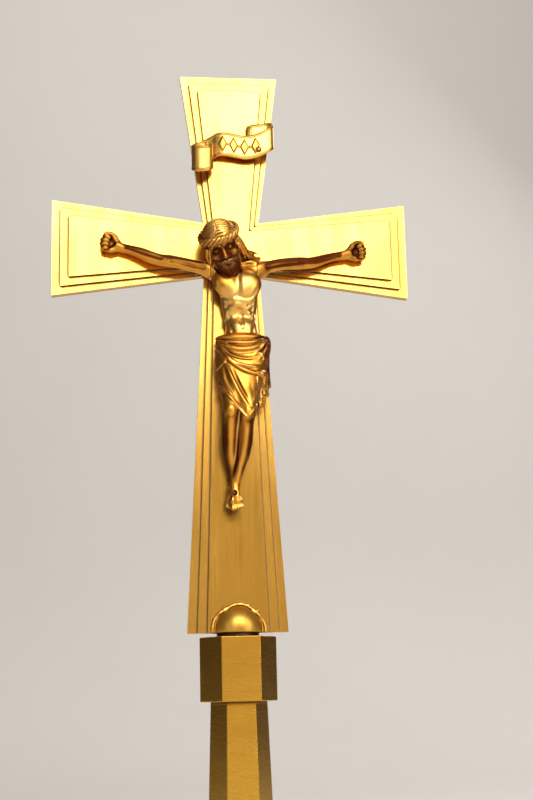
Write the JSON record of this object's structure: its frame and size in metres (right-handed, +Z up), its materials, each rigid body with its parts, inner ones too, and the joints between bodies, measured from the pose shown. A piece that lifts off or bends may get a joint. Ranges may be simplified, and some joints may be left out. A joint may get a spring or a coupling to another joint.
{
  "type": "altar cross",
  "caption": "Standing altar cross: stepped brass cross with a cast figure and a scroll, on a hexagonal collar, tapered stem and stepped weighted base.",
  "frame": {"origin": "on the table surface, under the centre of the base and on the axis of the stem", "axes": "+Z up along the stem, -Y out of the front of the cross, +X towards the right arm of the cross as seen from the front"},
  "size_m": [0.244, 0.1646, 0.61],
  "materials": {
    "cross_brass": "satin polished, fine brushed lines",
    "panel_brass": "satin polished, fine brushed lines",
    "back_brass": "satin, lightly toned",
    "socket_brass": "polished, with a brazed seam",
    "scroll_brass": "polished high points, toned hollows",
    "figure_bronze": "antique bronze, polished high points",
    "stand_brass": "satin, cross brushed",
    "dark_fitting": "blackened",
    "steel": "zinc plated",
    "iron": "rough cast",
    "felt": "matte felt"
  },
  "bodies": {
    "root": {"neck_washer": "dark_fitting", "collar_shell": "stand_brass", "collar_top_cap": "stand_brass", "collar_bottom_cap": "stand_brass", "stem_shell": "stand_brass", "stem_top_plug": "stand_brass", "stem_bottom_plug": "stand_brass", "stem_foot_moulding": "stand_brass", "base_flare": "stand_brass", "base_upper_step": "stand_brass", "base_middle_step": "stand_brass", "base_lower_step": "stand_brass", "ballast_weight": "iron", "base_bottom_plate": "steel", "bottom_plate_screws": "steel", "felt_pad": "felt", "tie_rod": "steel", "tie_rod_washer": "steel", "tie_rod_nut": "steel"},
    "cross_head": {"cross_back_plate": "back_brass", "cross_rim": "cross_brass", "cross_front_plate": "cross_brass", "cross_middle_tier": "cross_brass", "cross_centre_panel": "panel_brass", "domed_socket": "socket_brass", "scroll_band": "scroll_brass", "scroll_rivets": "dark_fitting", "corpus_body": "figure_bronze", "corpus_arm_left": "figure_bronze", "corpus_arm_right": "figure_bronze", "hand_nail_left": "dark_fitting", "hand_nail_right": "dark_fitting", "foot_nail": "dark_fitting", "corpus_stud": "steel", "corpus_stud_washer": "steel", "corpus_stud_nut": "steel"}
  },
  "joints": [
    {"name": "cross_turn", "type": "hinge", "parent": "root", "child": "cross_head", "pos_m": [0, 0, 0.2233], "axis": [0, 0, 1], "continuous": true}
  ]
}
